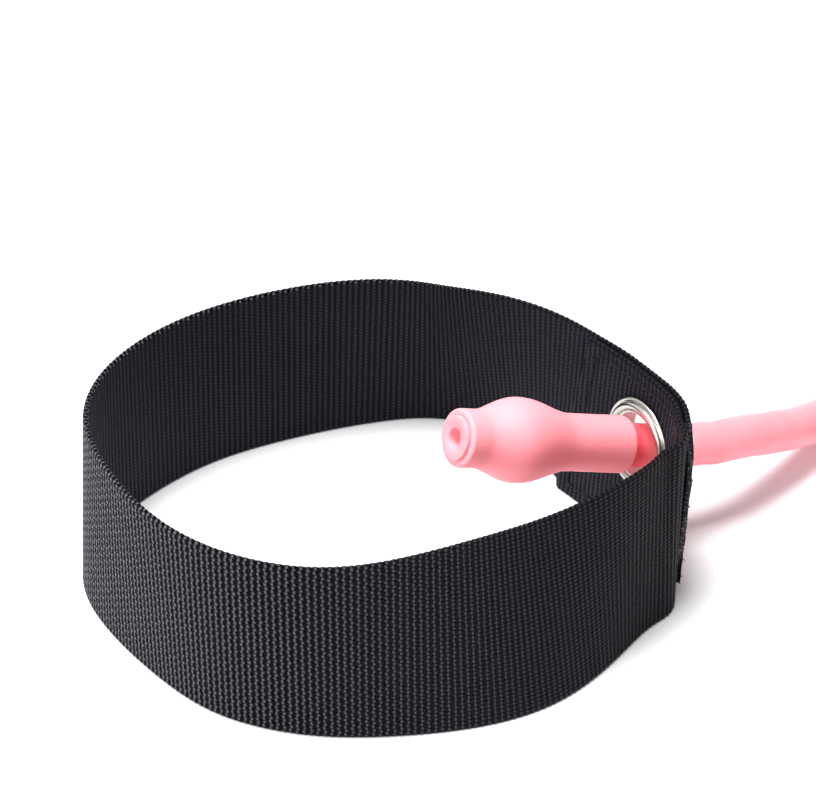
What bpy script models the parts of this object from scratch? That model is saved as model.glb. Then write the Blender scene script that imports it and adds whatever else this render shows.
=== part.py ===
"""Foot strap of a pilates bar kit: a lapped webbing loop with an eyelet and a stoppered latex tube.

The loop stands on its edge, centred on the origin, with +X to the right of the photograph and +Z up.
Sizes are in millimetres. Blender's own units are metres, so each mesh is scaled by MM once, as it is made.
"""
import math

import bmesh
import bpy
import numpy as np
from mathutils import Matrix, Vector

MM = 0.001
GAP = 0.3  # clearance between pieces that touch on the real strap
SHARP_FROM = math.radians(40.0)

# Webbing
WEB_WIDTH = 38.0
WEB_THICK = 1.2
LAP_GAP = 0.3  # between the two layers of the lap
SELVAGE = 0.25  # size of the rounded selvage edges
WEB_STEP = 2.6  # length of one facet along the webbing

# The strip's lower edge, seen from above, as control points of one smooth curve: x, y and how far the upper
# edge leans outwards. It starts at the inner flap's cut end, turns the corner, runs along the front to the left
# end and comes back along the rear to lie outside the flap.
FLAP = [
    (35.3, 26.9, 3.6), (43.7, 15.9, 3.2), (46.4, 11.6, 3.2), (49.1, 7.2, 3.2), (51.8, 2.7, 3.2),
    (54.5, -1.4, 3.2), (54.9, -6.3, 0.9),
]
CORNER = [(55.5, -13.3, -0.9), (54.3, -16.3, -2.1), (50.5, -19.8, -0.9)]
FRONT = [
    (42.5, -32.9, -3.8), (32.0, -44.6, -7.8), (18.0, -50.8, -7.3), (1.2, -53.1, -1.3), (-14.0, -53.0, 0.9),
    (-30.5, -47.3, 0.2), (-41.7, -35.3, 1.2),
]
LEFT = [(-51.5, -22.5, -1.1), (-59.4, -7.1, -2.7), (-57.2, 9.9, -1.7)]
REAR = [
    (-47.4, 25.1, -0.6), (-35.1, 37.2, -1.7), (-19.7, 44.9, -2.0), (-4.1, 50.8, -3.9), (12.4, 54.2, -8.5),
    (26.6, 45.9, -6.3),
]
OUTER_LAP = [
    (35.0, 31.9, 0.9), (39.0, 23.9, 3.0), (44.9, 16.8, 3.2), (47.6, 12.4, 3.2), (50.4, 8.0, 3.2),
    (53.1, 3.5, 3.2), (55.9, -0.9, 3.2), (56.6, -6.0, 0.9), (57.0, -8.4, 0.7), (57.1, -10.7, 1.5),
]
FLAP_SLANT = 8.0  # the flap's end is cut this far out of square
SLANT_FACETS = 8  # and the slant fades out over this many facets
EYELET_AT = (50.4, 8.0)  # foot of the eyelet's centre line on the outer layer's lower edge
EYELET_UP = 22.9  # up the webbing from its lower edge
EYELET_LEAN = 3.2  # outward lean of the lap where the eyelet is set

# Eyelet, as radius and depth from the middle of the outer layer, with + outwards
THROAT_R = 7.1
BARREL_R = 7.5
HOLE_R = BARREL_R + 0.35
RIM_R = 9.7
ROUND_STEPS = 48
SEAT_GAP = 0.45  # from the flap to the flange, because the lap isn't quite flat

# Tube and stopper, along the tube's axis from its open end face
TUBE_R = 4.3
BORE_R = 1.9
SLEEVE_R = 5.6
SLEEVE_IN_R = TUBE_R + GAP
SLEEVE_FROM = 0.7
SLEEVE_TO = 39.1
BULB_R = 8.2
BULB_AT = 14.0
BULB_FROM = 4.6
BULB_TO = 25.6
SLEEVE_WALL = 1.0  # over the bulb, where the sleeve is stretched
BALL_R = 4.6
STOPPER_STEPS = 28

# Where the tube passes the eyelet
TUBE_TURN = 28.0  # degrees from +X towards +Y, going out of the loop
TUBE_DIP = 19.5  # degrees below level, going out of the loop
TUBE_SAG = 0.5  # it hangs this far below the eyelet's centre
FACE_TO_EYELET = 45.4
EYELET_TO_JOINT = 7.0  # end of the piece that turns with the stopper
STRAIGHT_TO = 17.0  # the tube stays straight this far past the eyelet, so that it can slide

# Free tube from there to the floor, x, y, z of its centre line
FREE_ROUTE = [
    (70.3, 19.5, 15.9), (72.9, 22.0, 15.1), (75.5, 24.5, 14.1), (77.9, 27.0, 13.0),
    (80.3, 29.5, 11.8), (82.7, 32.1, 10.5), (85.0, 34.7, 9.3), (87.3, 37.4, 8.1),
    (89.5, 40.2, 7.1), (91.7, 43.0, 6.3), (93.9, 45.9, 5.8), (96.0, 48.9, 5.5),
]
TUBE_STEP = 2.2 * TUBE_R  # so thick a tube needs a point about every diameter to bend smoothly
COIL_START = (109.0, 70.6)
COIL_HEADING = 60.0  # degrees from +X towards +Y
COIL_R = 50.0
COIL_PITCH = 9.8  # the spiral draws in by this much in one turn
COIL_TURNS = 1.0
COIL_LIFT = 0.9  # room for the tie that passes under the coil where it starts
POINTS_A_TURN = 24
CURL_R = 24.0
CURL_ANGLE = 110.0
FAR_AXIS_Z = BULB_R + 0.05  # the far stopper lies on its bulb


def clear_scene():
    """Empty the file this script runs in."""
    for item in list(bpy.data.objects):
        bpy.data.objects.remove(item, do_unlink=True)


def make_material(name, colour, roughness, metallic=0.0):
    """A plain Principled material."""
    material = bpy.data.materials.new(name)
    material.use_nodes = True
    shader = material.node_tree.nodes["Principled BSDF"]
    shader.inputs["Base Color"].default_value = (*colour, 1.0)
    shader.inputs["Roughness"].default_value = roughness
    shader.inputs["Metallic"].default_value = metallic
    return material


def add_object(name, data, material, parent=None):
    """Link a mesh or curve as a named object."""
    item = bpy.data.objects.new(name, data)
    data.materials.append(material)
    bpy.context.scene.collection.objects.link(item)
    if parent is not None:
        item.parent = parent
        item.matrix_parent_inverse = parent.matrix_world.inverted()
    return item


def mesh_from(bm, name):
    """Close a bmesh into mesh data, scaled to metres, faces outwards, smooth apart from its sharp edges."""
    bmesh.ops.recalc_face_normals(bm, faces=bm.faces)
    bmesh.ops.scale(bm, vec=(MM, MM, MM), verts=bm.verts)
    for face in bm.faces:
        face.smooth = True
    data = bpy.data.meshes.new(name)
    bm.to_mesh(data)
    bm.free()
    data.set_sharp_from_angle(angle=SHARP_FROM)
    return data


def b_spline(points, samples):
    """Cubic B-spline that starts and ends on its first and last control point."""
    points = np.array(points, float)
    spans = len(points) - 3
    knots = np.concatenate([np.zeros(3), np.linspace(0.0, 1.0, spans + 1), np.ones(3)])
    places = np.linspace(0.0, 1.0, samples)
    curve = []
    for place in places:
        k = min(int(place * spans), spans - 1) + 3
        heap = [points[j + k - 3].copy() for j in range(4)]
        for level in range(1, 4):
            for j in range(3, level - 1, -1):
                low, high = knots[j + k - 3], knots[j + 1 + k - level]
                share = (place - low) / (high - low)
                heap[j] = (1.0 - share) * heap[j - 1] + share * heap[j]
        curve.append(heap[3])
    return np.array(curve)


def through_points(points, samples_each=12):
    """Catmull-Rom curve through points of any dimension."""
    points = np.array(points, float)
    ends = np.vstack([2 * points[0] - points[1], points, 2 * points[-1] - points[-2]])
    curve = []
    for before, start, end, after in zip(ends, ends[1:], ends[2:], ends[3:]):
        for t in np.linspace(0.0, 1.0, samples_each, endpoint=False):
            bend = (2 * before - 5 * start + 4 * end - after) * t * t
            twist = (3 * start - before - 3 * end + after) * t ** 3
            curve.append(start + 0.5 * ((end - before) * t + bend + twist))
    curve.append(points[-1])
    return np.array(curve)


def evenly(curve, step):
    """The same curve with a point about every step, its ends kept."""
    run = np.concatenate([[0.0], np.cumsum(np.linalg.norm(np.diff(curve, axis=0), axis=1))])
    places = np.linspace(0.0, run[-1], max(2, round(run[-1] / step) + 1))
    return np.stack([np.interp(places, run, column) for column in curve.T], axis=1)


def turned(profile, steps, name, place):
    """Turn a closed outline of (along, radius) points round the local X axis and put it in place."""
    bm = bmesh.new()
    rings = []
    for k in range(steps):
        angle = 2.0 * math.pi * k / steps
        c, s = math.cos(angle), math.sin(angle)
        rings.append([bm.verts.new((a, r * c, r * s)) for a, r in profile])
    for k in range(steps):
        here, there = rings[k], rings[(k + 1) % steps]
        for j in range(len(profile)):
            n = (j + 1) % len(profile)
            bm.faces.new((here[j], here[n], there[n], there[j]))
    bmesh.ops.transform(bm, matrix=place, verts=bm.verts)
    return mesh_from(bm, name)


def axis_frame(origin, direction):
    """Matrix whose local X axis runs along a direction."""
    x = Vector(direction).normalized()
    y = Vector((0.0, 0.0, 1.0)).cross(x).normalized()
    z = x.cross(y)
    frame = Matrix((x, y, z)).transposed().to_4x4()
    frame.translation = Vector(origin)
    return frame


def strip_route():
    """Lower edge, outward normal and lean along the whole strip, from the flap's end to the outer end."""
    control = FLAP + CORNER + FRONT + LEFT + REAR + OUTER_LAP
    fine = b_spline(control, 1500)
    run = np.concatenate([[0.0], np.cumsum(np.linalg.norm(np.diff(fine[:, :2], axis=0), axis=1))])
    count = round(run[-1] / WEB_STEP) + 1
    places = np.linspace(0.0, run[-1], count)
    route = np.stack([np.interp(places, run, column) for column in fine.T], axis=1)
    along = np.gradient(route[:, :2], axis=0)
    along /= np.linalg.norm(along, axis=1)[:, None]
    outward = np.stack([-along[:, 1], along[:, 0]], axis=1)
    return route, along, outward


def strip_section():
    """Webbing section as (out, up): flat on the floor below, rounded selvages, anticlockwise."""
    half, top = WEB_THICK / 2, WEB_WIDTH
    s = SELVAGE
    return [
        (half - s, 0.0), (half, s), (half, top / 2), (half, top - s), (half - 0.3 * s, top - 0.3 * s),
        (half - s, top), (s - half, top), (0.3 * s - half, top - 0.3 * s), (-half, top - s),
        (-half, top / 2), (-half, s), (s - half, 0.0),
    ]


def eyelet_frame():
    """Eyelet centre on the outer layer's middle and its axis out of the loop."""
    route, _, outward = strip_route()
    near = np.linalg.norm(route[len(route) // 2:, :2] - np.array(EYELET_AT), axis=1).argmin()
    side = outward[len(route) // 2 + near]
    lean = math.asin(EYELET_LEAN / WEB_WIDTH)
    up = Vector((side[0] * math.sin(lean), side[1] * math.sin(lean), math.cos(lean)))
    out = Vector((side[0] * math.cos(lean), side[1] * math.cos(lean), -math.sin(lean)))
    return Vector((*EYELET_AT, 0.0)) + EYELET_UP * up, out


def tube_axis():
    """Where the tube's axis crosses the lap and its direction out of the loop."""
    centre, out = eyelet_frame()
    turn, dip = math.radians(TUBE_TURN), math.radians(TUBE_DIP)
    direction = Vector((math.cos(dip) * math.cos(turn), math.cos(dip) * math.sin(turn), -math.sin(dip)))
    crossing = centre - (WEB_THICK + LAP_GAP) / 2 * out - Vector((0.0, 0.0, TUBE_SAG))
    return crossing, direction


def add_webbing(material):
    """The whole strap, one strip of webbing that laps over itself, with the eyelet's holes cut through."""
    route, along, outward = strip_route()
    section = strip_section()
    bm = bmesh.new()
    rings = []
    for k, ((x, y, lean), side, way) in enumerate(zip(route, outward, along)):
        angle = math.asin(lean / WEB_WIDTH)
        slant = FLAP_SLANT * max(0.0, 1.0 - k / SLANT_FACETS)
        ring = []
        for out, up in section:
            shift = out * math.cos(angle) + up * math.sin(angle) if up > SELVAGE else out
            height = up * math.cos(angle) - out * math.sin(angle) if up > SELVAGE else up
            skew = slant * up / WEB_WIDTH
            place = np.array([x, y]) + side * shift + way * skew
            ring.append(bm.verts.new((*place, height)))
        rings.append(ring)
    for here, there in zip(rings, rings[1:]):
        for j in range(len(section)):
            n = (j + 1) % len(section)
            bm.faces.new((here[j], here[n], there[n], there[j]))
    bm.faces.new(rings[0])
    bm.faces.new(list(reversed(rings[-1])))
    strap = add_object("webbing_band", mesh_from(bm, "webbing_band"), material)

    centre, out = eyelet_frame()
    cutter_reach = 8.0
    bm = bmesh.new()
    bmesh.ops.create_cone(bm, cap_ends=True, segments=ROUND_STEPS, radius1=HOLE_R, radius2=HOLE_R,
                          depth=2 * cutter_reach)
    bmesh.ops.transform(bm, matrix=axis_frame(centre, out) @ Matrix.Rotation(math.pi / 2, 4, "Y"), verts=bm.verts)
    cutter = add_object("eyelet_hole_cutter", mesh_from(bm, "eyelet_hole_cutter"), material)
    cutter.hide_render = True
    cutter.display_type = "WIRE"
    cut = strap.modifiers.new("eyelet_holes", "BOOLEAN")
    cut.operation = "DIFFERENCE"
    cut.solver = "EXACT"
    cut.object = cutter
    return strap


def arc(middle, radius, start, end, steps):
    """Points (along, radius) of an arc given by its middle and angles in degrees."""
    angles = np.radians(np.linspace(start, end, steps))
    return [(middle[0] + radius * math.cos(a), middle[1] + radius * math.sin(a)) for a in angles]


def add_eyelet(material, parent):
    """Flanged barrel pressed from inside the loop, and the washer that its end is rolled over."""
    centre, out = eyelet_frame()
    place = axis_frame(centre, out)
    inner_face = -(1.5 * WEB_THICK + LAP_GAP) - SEAT_GAP
    outer_face = WEB_THICK / 2 + GAP
    washer = 0.5
    roll_from = outer_face + washer + GAP
    roll = 0.45
    flange = [
        (inner_face, BARREL_R), (inner_face, RIM_R - 0.5), (inner_face - 0.1, RIM_R - 0.1),
        (inner_face - 0.45, RIM_R), (inner_face - 0.85, RIM_R - 0.35), (inner_face - 1.1, RIM_R - 1.0),
    ]
    flange += arc((inner_face + 0.4, THROAT_R + 1.5), 1.5, 180, 270, 5)
    flange += arc((roll_from - 0.4, THROAT_R + 1.3), 1.3, 270, 360, 5)
    flange += [(roll_from + roll + 0.3, THROAT_R + 2.0), (roll_from, THROAT_R + 2.1), (roll_from, BARREL_R)]
    add_object("eyelet_flange", turned(flange, ROUND_STEPS, "eyelet_flange", place), material, parent)
    ring = [
        (outer_face, HOLE_R), (outer_face + washer, HOLE_R), (outer_face + washer, RIM_R - 0.2),
        (outer_face + 0.2, RIM_R), (outer_face, RIM_R),
    ]
    add_object("eyelet_washer", turned(ring, ROUND_STEPS, "eyelet_washer", place), material, parent)


def bell(along, start, middle, end):
    """Smooth rise from 0 at start to 1 at the middle and back to 0 at the end."""
    reach = middle - start if along < middle else end - middle
    t = min(1.0, abs(along - middle) / reach)
    return (0.5 + 0.5 * math.cos(math.pi * t)) ** 0.8


def add_stopper(names, materials, face, direction, tube_length, parents):
    """Tube end with a ball in it and the sleeve over it, from the open face back along a direction.

    names and materials are for the tube, the sleeve and the ball.
    """
    place = axis_frame(face, direction)
    stations = [BULB_FROM + (BULB_TO - BULB_FROM) * k / 12 for k in range(13)]

    def outer(along):
        return SLEEVE_R + (BULB_R - SLEEVE_R) * bell(along, BULB_FROM, BULB_AT, BULB_TO)

    def inner(along):
        swell = BULB_R - SLEEVE_WALL - SLEEVE_IN_R
        return SLEEVE_IN_R + swell * bell(along, BULB_FROM + 0.4, BULB_AT, BULB_TO - 0.4)

    def tube_outer(along):
        swell = BULB_R - SLEEVE_WALL - GAP - TUBE_R
        return TUBE_R + swell * bell(along, BULB_FROM + 0.7, BULB_AT, BULB_TO - 0.7)

    rim = 0.4
    sleeve = [(SLEEVE_FROM + rim, SLEEVE_R)] + [(a, outer(a)) for a in stations]
    sleeve += [(SLEEVE_TO - rim, SLEEVE_R), (SLEEVE_TO, SLEEVE_R - rim), (SLEEVE_TO, SLEEVE_IN_R)]
    sleeve += [(a, inner(a)) for a in reversed(stations)]
    sleeve += [(SLEEVE_FROM, SLEEVE_IN_R), (SLEEVE_FROM, SLEEVE_R - rim)]
    cavity_r = BALL_R + GAP
    reach = math.sqrt(cavity_r ** 2 - BORE_R ** 2)
    cavity = []
    for k in range(9):
        offset = reach * math.cos(math.pi * k / 8)
        cavity.append((BULB_AT + offset, math.sqrt(cavity_r ** 2 - offset ** 2)))
    tube = [(0.0, TUBE_R - 0.3), (0.3, TUBE_R)] + [(a, tube_outer(a)) for a in stations]
    tube += [(tube_length, TUBE_R), (tube_length, BORE_R)] + cavity + [(0.0, BORE_R)]
    bm = bmesh.new()
    bmesh.ops.create_uvsphere(bm, u_segments=20, v_segments=10, radius=BALL_R)
    bmesh.ops.transform(bm, matrix=place @ Matrix.Translation((BULB_AT, 0.0, 0.0)), verts=bm.verts)
    data = [
        turned(tube, STOPPER_STEPS, names[0], place), turned(sleeve, STOPPER_STEPS, names[1], place),
        mesh_from(bm, names[2]),
    ]
    for name, mesh, material, parent in zip(names, data, materials, parents):
        add_object(name, mesh, material, parent)


def add_tube(name, points, material, parent, bevel_resolution):
    """Round tube along points, with closed ends."""
    data = bpy.data.curves.new(name, "CURVE")
    data.dimensions = "3D"
    data.bevel_depth = TUBE_R * MM
    data.bevel_resolution = bevel_resolution
    data.use_fill_caps = True
    data.render_resolution_u = 0
    spline = data.splines.new("POLY")
    spline.points.add(len(points) - 1)
    for point, place in zip(spline.points, points):
        point.co = (*(Vector(place) * MM), 1.0)
    return add_object(name, data, material, parent)


def heading(degrees):
    """Level unit vector."""
    return np.array([math.cos(math.radians(degrees)), math.sin(math.radians(degrees)), 0.0])


def coil_points():
    """Centre line of the coil: in, one turn that draws inwards, a tighter curl and out to the far stopper."""
    start = np.array([*COIL_START, TUBE_R + COIL_LIFT])
    centre = start + COIL_R * heading(COIL_HEADING - 90.0)
    lead = 2 * TUBE_R
    points = [start - lead * heading(COIL_HEADING), start - lead / 2 * heading(COIL_HEADING)]
    steps = round(POINTS_A_TURN * COIL_TURNS)
    for k in range(steps + 1):
        turn = k / POINTS_A_TURN
        radius = COIL_R - COIL_PITCH * turn
        point = centre + radius * heading(COIL_HEADING + 90.0 - 360.0 * turn)
        point[2] -= COIL_LIFT * (0.5 - 0.5 * math.cos(2.0 * math.pi * turn))
        points.append(point)
    way = COIL_HEADING - 360.0 * COIL_TURNS
    curl_centre = points[-1] + CURL_R * heading(way - 90.0)
    steps = 12
    for k in range(1, steps + 1):
        point = curl_centre + CURL_R * heading(way + 90.0 - CURL_ANGLE * k / steps)
        rise = 0.5 - 0.5 * math.cos(math.pi * k / steps)
        point[2] = start[2] + (FAR_AXIS_Z - start[2]) * rise
        points.append(point)
    out = heading(way - CURL_ANGLE)
    points += [points[-1] + lead / 2 * out, points[-1] + lead * out]
    return np.array(points), out


def free_points():
    """Centre line of the free tube from its joint with the stopper's tube to the coil."""
    centre, direction = tube_axis()
    straight = [np.array(centre + direction * d) for d in (EYELET_TO_JOINT + GAP, 11.0, 14.0, STRAIGHT_TO)]
    lead = 2 * TUBE_R
    start = np.array([*COIL_START, TUBE_R + COIL_LIFT])
    landing = [start - d * heading(COIL_HEADING) for d in (2 * lead, lead + GAP)]
    bend = through_points(straight[-2:] + [np.array(p) for p in FREE_ROUTE] + landing[:1])
    return np.vstack([straight[0], evenly(bend, TUBE_STEP), landing[1]])


def least_gap(points, diameter):
    """Least clear distance of a tube to itself, over points further apart along it than three diameters."""
    run = np.concatenate([[0.0], np.cumsum(np.linalg.norm(np.diff(points, axis=0), axis=1))])
    apart = np.linalg.norm(points[:, None] - points[None], axis=2)
    far = np.abs(run[:, None] - run[None]) > 3 * diameter
    return apart[far].min() - diameter


def main():
    """Build every piece."""
    clear_scene()
    black = make_material("black_webbing", (0.020, 0.019, 0.024), 0.85)
    steel = make_material("eyelet_plating", (0.80, 0.79, 0.80), 0.18, 1.0)
    latex = make_material("pink_latex_tube", (0.86, 0.33, 0.35), 0.42)
    sleeve = make_material("pink_latex_sleeve", (0.90, 0.43, 0.45), 0.45)
    ball = make_material("white_ball", (0.80, 0.78, 0.74), 0.40)

    strap = add_webbing(black)
    add_eyelet(steel, strap)

    centre, direction = tube_axis()
    slide = bpy.data.objects.new("tube_slide_axis", None)
    slide.matrix_world = Matrix.Translation(centre * MM)
    bpy.context.scene.collection.objects.link(slide)
    bpy.context.view_layer.update()
    face = centre - direction * FACE_TO_EYELET
    add_stopper(("stopper_tube", "stopper_sleeve", "stopper_ball"), (latex, sleeve, ball), face, direction,
                FACE_TO_EYELET + EYELET_TO_JOINT, (slide, slide, slide))
    free = free_points()
    add_tube("tube_free", free, latex, slide, 3)
    coil, out = coil_points()
    add_tube("tube_coil", coil, latex, slide, 1)
    far_length = SLEEVE_TO + 2.0
    far_face = Vector(coil[-1] + (GAP + far_length) * out)
    add_stopper(("far_tube", "far_sleeve", "far_ball"), (latex, sleeve, ball), far_face, Vector(-out),
                far_length, (slide, slide, slide))
    print(f"least gap of the coil to itself {least_gap(coil, 2 * TUBE_R):.2f} mm")
    print(f"free {np.linalg.norm(np.diff(free, axis=0), axis=1).sum():.1f} mm, "
          f"coil {np.linalg.norm(np.diff(coil, axis=0), axis=1).sum():.1f} mm")


main()
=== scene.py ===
"""Looks of a pilates bar foot strap: a woven webbing loop, its eyelet and a stoppered latex tube.

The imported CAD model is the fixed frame. Every piece made here stands for one of its nodes or rides on one
of its bodies. Sizes are in millimetres and repeat those of the part's source; meshes are scaled by MM once.
"""

import logging
import math
import random
from dataclasses import dataclass, field, replace
from enum import Enum
from typing import ClassVar

import bmesh
import bpy
import numpy as np
from mathutils import Matrix, Vector, noise


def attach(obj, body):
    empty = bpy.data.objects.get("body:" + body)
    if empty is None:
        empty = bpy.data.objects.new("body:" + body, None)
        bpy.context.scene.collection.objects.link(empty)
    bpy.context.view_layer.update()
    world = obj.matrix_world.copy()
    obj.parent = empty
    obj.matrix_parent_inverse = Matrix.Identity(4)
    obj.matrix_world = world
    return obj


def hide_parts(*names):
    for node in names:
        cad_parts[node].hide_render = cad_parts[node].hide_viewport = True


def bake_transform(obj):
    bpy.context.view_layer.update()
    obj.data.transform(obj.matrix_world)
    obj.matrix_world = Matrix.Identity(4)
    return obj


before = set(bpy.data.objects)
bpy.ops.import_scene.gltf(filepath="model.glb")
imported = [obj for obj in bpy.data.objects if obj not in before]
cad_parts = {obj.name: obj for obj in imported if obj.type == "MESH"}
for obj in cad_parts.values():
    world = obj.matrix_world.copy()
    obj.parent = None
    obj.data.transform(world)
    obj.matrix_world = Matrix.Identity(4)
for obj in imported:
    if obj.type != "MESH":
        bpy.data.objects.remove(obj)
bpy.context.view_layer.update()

MM = 0.001
LOG = logging.getLogger("foot_strap")

Socket = bpy.types.NodeSocket
Colour = tuple[float, float, float, float]
Point = tuple[float, float, float]
Outline = list[tuple[float, float]]
WHITE: Colour = (1.0, 1.0, 1.0, 1.0)


class Body(Enum):
    """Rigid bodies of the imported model."""

    STRAP = "foot_strap"
    TUBE = "resistance_tube"
    STOPPER = "stopper"


class Face(Enum):
    """Material slots of the woven strap."""

    OUTER = 0
    INNER = 1
    CUT_END = 2


class ShaderNodes:
    """Adds and joins the nodes of one material or node group."""

    def __init__(self, tree: bpy.types.NodeTree) -> None:
        """Keep the tree that the nodes go into."""
        self.tree = tree

    def add(self, kind: str, **settings: object) -> bpy.types.Node:
        """Add a node.

        Args:
            kind: the node's type name, without the ShaderNode prefix.
            settings: properties of the node.

        Returns:
            The new node.
        """
        node = self.tree.nodes.new("ShaderNode" + kind)
        for name, value in settings.items():
            setattr(node, name, value)
        return node

    def join(self, source: object, target: Socket) -> None:
        """Link an output to an input, or set the input where the source is a plain value.

        Args:
            source: output socket, number or tuple.
            target: input socket.
        """
        if isinstance(source, Socket):
            self.tree.links.new(source, target)
        else:
            target.default_value = source

    def fill(self, node: bpy.types.Node, **values: object) -> bpy.types.Node:
        """Join values to a node's inputs.

        Args:
            node: the node.
            values: input names, with _ for a space, to a value or socket.

        Returns:
            The same node.
        """
        for name, value in values.items():
            self.join(value, node.inputs[name.replace("_", " ")])
        return node

    def maths(self, operation: str, a: object, b: object = 0.0, clamp: bool = False) -> Socket:
        """Add a Math node.

        Args:
            operation: name of the operation.
            a: first value or socket.
            b: second value or socket.
            clamp: whether the result is kept from 0 to 1.

        Returns:
            The result's socket.
        """
        node = self.add("Math", operation=operation, use_clamp=clamp)
        self.join(a, node.inputs[0])
        self.join(b, node.inputs[1])
        return node.outputs[0]

    def plus(self, a: object, b: object) -> Socket:
        """Sum of two values or sockets."""
        return self.maths("ADD", a, b)

    def minus(self, a: object, b: object) -> Socket:
        """Difference of two values or sockets."""
        return self.maths("SUBTRACT", a, b)

    def times(self, a: object, b: object) -> Socket:
        """Product of two values or sockets."""
        return self.maths("MULTIPLY", a, b)

    def larger(self, a: object, b: object) -> Socket:
        """Larger of two values or sockets."""
        return self.maths("MAXIMUM", a, b)

    def arch(self, place: object) -> Socket:
        """Half a sine wave, from 0 up to 1 and back, over each whole step of a place."""
        return self.larger(self.maths("SINE", self.times(self.maths("FRACT", place), math.pi)), 0.0)

    def spread(self, value: object, low: object, high: object, to_low: object, to_high: object) -> Socket:
        """Map a range of values to another, kept within it.

        Args:
            value: socket to map.
            low: value that gives to_low.
            high: value that gives to_high.
            to_low: result at low.
            to_high: result at high.

        Returns:
            The result's socket.
        """
        return self.fill(self.add("MapRange"), Value=value, From_Min=low, From_Max=high, To_Min=to_low,
                         To_Max=to_high).outputs["Result"]

    def blend(self, share: object, a: object, b: object) -> Socket:
        """Mix two colours.

        Args:
            share: how much of b.
            a: first colour.
            b: second colour.

        Returns:
            The mixed colour's socket.
        """
        node = self.add("Mix", data_type="RGBA")
        for source, target in ((share, 0), (a, 6), (b, 7)):
            self.join(source, node.inputs[target])
        return node.outputs[2]

    def clouds(self, place: object, scale: object, detail: float, flat: bool = True) -> Socket:
        """Noise at a place.

        Args:
            place: vector socket.
            scale: patches for each unit of the place.
            detail: octaves.
            flat: whether it reads only X and Y.

        Returns:
            The noise value's socket.
        """
        node = self.add("TexNoise", noise_dimensions="2D" if flat else "3D")
        return self.fill(node, Vector=place, Scale=scale, Detail=detail).outputs["Fac"]

    def bump(self, height: object, depth_mm: float) -> Socket:
        """Normal of a height from 0 to 1 that stands for depth_mm."""
        return self.fill(self.add("Bump"), Distance=depth_mm * MM, Height=height).outputs["Normal"]

    def place(self) -> Socket:
        """Object coordinates, in metres."""
        return self.add("TexCoord").outputs["Object"]

    def parts(self, vector: object) -> bpy.types.NodeOutputs:
        """X, Y and Z of a vector."""
        node = self.add("SeparateXYZ")
        self.join(vector, node.inputs[0])
        return node.outputs

    def seen(self) -> Socket:
        """1 for what the camera sees straight, in a reflection or through glass, else 0."""
        path = self.add("LightPath").outputs
        seen = self.maths("ADD", path["Is Camera Ray"], path["Is Glossy Ray"], clamp=True)
        return self.maths("ADD", seen, path["Is Transmission Ray"], clamp=True)

    def group(self, tree: bpy.types.NodeTree, **values: object) -> bpy.types.NodeOutputs:
        """Outputs of a node group placed with these input values."""
        return self.fill(self.add("Group", node_tree=tree), **values).outputs


def new_group(name: str, vector: str, numbers: tuple[str, ...],
              results: tuple[str, ...]) -> tuple[ShaderNodes, bpy.types.NodeOutputs, bpy.types.NodeInputs]:
    """Start a shader node group with named sockets.

    Args:
        name: the group's name.
        vector: name of its vector input.
        numbers: names of its number inputs.
        results: names of its outputs, which are numbers.

    Returns:
        The group's node helper, what the group is given and what it gives.
    """
    tree = bpy.data.node_groups.new(name, "ShaderNodeTree")
    for way, kind, sockets in (("INPUT", "Vector", (vector,)), ("INPUT", "Float", numbers),
                               ("OUTPUT", "Float", results)):
        for socket in sockets:
            tree.interface.new_socket(socket, in_out=way, socket_type="NodeSocket" + kind)
    taken, given = tree.nodes.new("NodeGroupInput"), tree.nodes.new("NodeGroupOutput")
    return ShaderNodes(tree), taken.outputs, given.inputs


def yarn_floats_group() -> bpy.types.NodeTree:
    """Node group of webbing's floats, which can be staggered from one rib to the next.

    Returns:
        A group that takes a place counted in ribs and floats and gives Height, Gap and Tone.
    """
    n, taken, given = new_group(
        "yarn_floats", "Cells", ("Float Rise", "Wander", "Zigzag", "Open", "Narrow", "Stagger"),
        ("Height", "Gap", "Tone"))
    wander_scale, drift_along, full_float, lowest_float = 0.7, 1.6, 0.97, 0.78
    dome_power, bead_power = 0.8, 0.7
    start = n.parts(taken["Cells"])
    drift = n.times(n.minus(n.clouds(taken["Cells"], wander_scale, 1.0), 0.5), taken["Wander"])
    stagger = n.times(n.maths("FLOORED_MODULO", n.maths("FLOOR", start["X"]), 2.0), taken["Stagger"])
    float_place = n.plus(n.plus(start["Y"], stagger), n.times(drift, drift_along))
    row = n.maths("FLOOR", float_place)
    zigzag = n.times(n.minus(n.maths("FLOORED_MODULO", row, 2.0), 0.5), taken["Zigzag"])
    rib_place = n.plus(n.plus(start["X"], drift), zigzag)
    across = n.arch(rib_place)
    dome = n.maths("POWER", across, dome_power)
    bead = n.maths("POWER", n.arch(float_place), bead_power)
    share = n.plus(n.times(bead, taken["Float Rise"]), n.minus(1.0, taken["Float Rise"]))
    cell = n.fill(n.add("CombineXYZ"), X=n.maths("FLOOR", rib_place), Y=row)
    luck = n.fill(n.add("TexWhiteNoise", noise_dimensions="2D"), Vector=cell.outputs[0]).outputs["Value"]
    n.join(n.times(n.times(dome, share), n.spread(luck, 0.0, 1.0, lowest_float, 1.0)), given["Height"])
    crest = n.times(n.maths("POWER", across, taken["Narrow"]), share)
    n.join(n.spread(crest, taken["Open"], full_float, 1.0, 0.0), given["Gap"])
    n.join(luck, given["Tone"])
    return n.tree


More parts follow.
